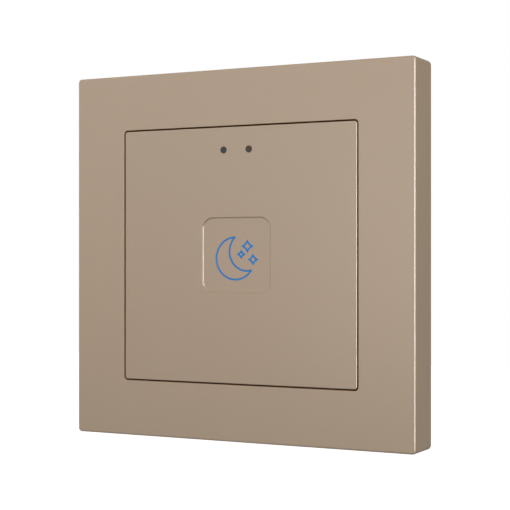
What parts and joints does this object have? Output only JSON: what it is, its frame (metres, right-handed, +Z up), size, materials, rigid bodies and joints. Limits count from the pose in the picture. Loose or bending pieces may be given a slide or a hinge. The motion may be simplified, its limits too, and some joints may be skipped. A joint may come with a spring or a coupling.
{
  "type": "light switch",
  "caption": "Flush smart light switch: square cover frame round a square push key with a sunk pad and two round windows, on a screwed support ring with a deep insert.",
  "frame": {"origin": "middle of the wall surface behind the cover frame, midway between the box screws", "axes": "+X right and +Z up as one faces the switch, +Y into the wall; the key faces -Y"},
  "size_m": [0.0806, 0.0354, 0.0806],
  "materials": {
    "champagne_lacquer": "fine satin champagne lacquer on polycarbonate",
    "smoked_window": "smoked, translucent",
    "clear_acrylic": "clear, frosted at its front",
    "white_plastic": "moulded",
    "black_plastic": "moulded",
    "grey_plastic": "moulded, fine spark texture",
    "light_grey_plastic": "moulded",
    "board_green": "solder mask on glass laminate",
    "lamp_resin": "clear resin",
    "tinned_can": "tinned sheet",
    "zinc_steel": "zinc plated",
    "spring_steel": "ground",
    "iron": "nickel plated soft iron",
    "brass": "bare",
    "copper": "enamelled copper and copper alloy",
    "ferrite": "sintered ferrite",
    "relay_blue": "moulded",
    "yellow_tape": "polyester tape",
    "capacitor_sleeve": "sleeved aluminium can",
    "varistor_blue": "epoxy coated",
    "symbol_blue": "translucent blue, lit from behind"
  },
  "bodies": {
    "switch_body": {"cover_frame": "champagne_lacquer", "light_shroud": "white_plastic", "front_circuit_board": "board_green", "board_screws": "zinc_steel", "tact_switch_bodies": "black_plastic", "symbol_leds": "lamp_resin", "status_led": "lamp_resin", "ambient_light_sensor": "smoked_window", "radio_module": "board_green", "radio_shield": "tinned_can", "controller_chip": "black_plastic", "board_socket": "black_plastic", "module_carrier": "grey_plastic", "support_ring": "zinc_steel", "housing_screws": "zinc_steel", "insert_cover": "grey_plastic", "insert_housing": "grey_plastic", "power_circuit_board": "board_green", "pin_header": "black_plastic", "header_pins": "brass", "relay_base": "black_plastic", "relay_bobbin": "white_plastic", "relay_winding": "copper", "relay_yoke": "iron", "relay_contact": "copper", "relay_cover": "relay_blue", "transformer_core": "ferrite", "transformer_winding": "yellow_tape", "bulk_capacitor": "capacitor_sleeve", "fuse": "black_plastic", "varistor": "varistor_blue", "choke": "ferrite", "terminal_block": "light_grey_plastic", "terminal_busbars": "brass"},
    "key": {"key_plate": "champagne_lacquer", "hinge_pins": "spring_steel", "symbol_light_guide": "clear_acrylic", "status_light_pipe": "smoked_window", "light_sensor_window": "smoked_window"},
    "plunger_left": {"tact_plunger_left": "white_plastic"},
    "plunger_right": {"tact_plunger_right": "white_plastic"},
    "armature": {"relay_armature": "iron"},
    "screw_line": {"terminal_screw_line": "zinc_steel"},
    "clamp_line": {"terminal_clamp_line": "brass"},
    "screw_neutral": {"terminal_screw_neutral": "zinc_steel"},
    "clamp_neutral": {"terminal_clamp_neutral": "brass"},
    "screw_load": {"terminal_screw_load": "zinc_steel"},
    "clamp_load": {"terminal_clamp_load": "brass"}
  },
  "joints": [
    {"name": "key_press", "type": "hinge", "parent": "switch_body", "child": "key", "pos_m": [0, -0.006, 0.0246], "axis": [1, 0, 0], "range_deg": [0, 0.9], "stiffness_Nm_per_rad": 1, "springref_deg": -2.86},
    {"name": "plunger_left_slide", "type": "slide", "parent": "switch_body", "child": "plunger_left", "axis": [0, 1, 0], "range_m": [0, 0.0004]},
    {"name": "plunger_right_slide", "type": "slide", "parent": "switch_body", "child": "plunger_right", "axis": [0, 1, 0], "range_m": [0, 0.0004]},
    {"name": "armature_tilt", "type": "hinge", "parent": "switch_body", "child": "armature", "pos_m": [-0.00998, 0.0182, 0.01286], "axis": [1, 0, 0], "range_deg": [0, 4], "stiffness_Nm_per_rad": 0.004, "springref_deg": -5.73},
    {"name": "clamp_line_slide", "type": "slide", "parent": "switch_body", "child": "clamp_line", "axis": [0, 1, 0], "range_m": [0, 0.00175]},
    {"name": "screw_line_turn", "type": "hinge", "parent": "switch_body", "child": "screw_line", "pos_m": [0.011, 0.0174, -0.0174], "axis": [0, -1, 0], "range_deg": [0, 930]},
    {"name": "clamp_neutral_slide", "type": "slide", "parent": "switch_body", "child": "clamp_neutral", "axis": [0, 1, 0], "range_m": [0, 0.00175]},
    {"name": "screw_neutral_turn", "type": "hinge", "parent": "switch_body", "child": "screw_neutral", "pos_m": [0, 0.0174, -0.0174], "axis": [0, -1, 0], "range_deg": [0, 930]},
    {"name": "clamp_load_slide", "type": "slide", "parent": "switch_body", "child": "clamp_load", "axis": [0, 1, 0], "range_m": [0, 0.00175]},
    {"name": "screw_load_turn", "type": "hinge", "parent": "switch_body", "child": "screw_load", "pos_m": [-0.011, 0.0174, -0.0174], "axis": [0, -1, 0], "range_deg": [0, 930]}
  ],
  "couplings": [
    {"joint": "plunger_left_slide", "follows": "key_press", "m_per_rad": 0.0246},
    {"joint": "plunger_right_slide", "follows": "key_press", "m_per_rad": 0.0246},
    {"joint": "screw_line_turn", "follows": "clamp_line_slide", "rad_per_m": 8976},
    {"joint": "screw_neutral_turn", "follows": "clamp_neutral_slide", "rad_per_m": 8976},
    {"joint": "screw_load_turn", "follows": "clamp_load_slide", "rad_per_m": 8976}
  ]
}
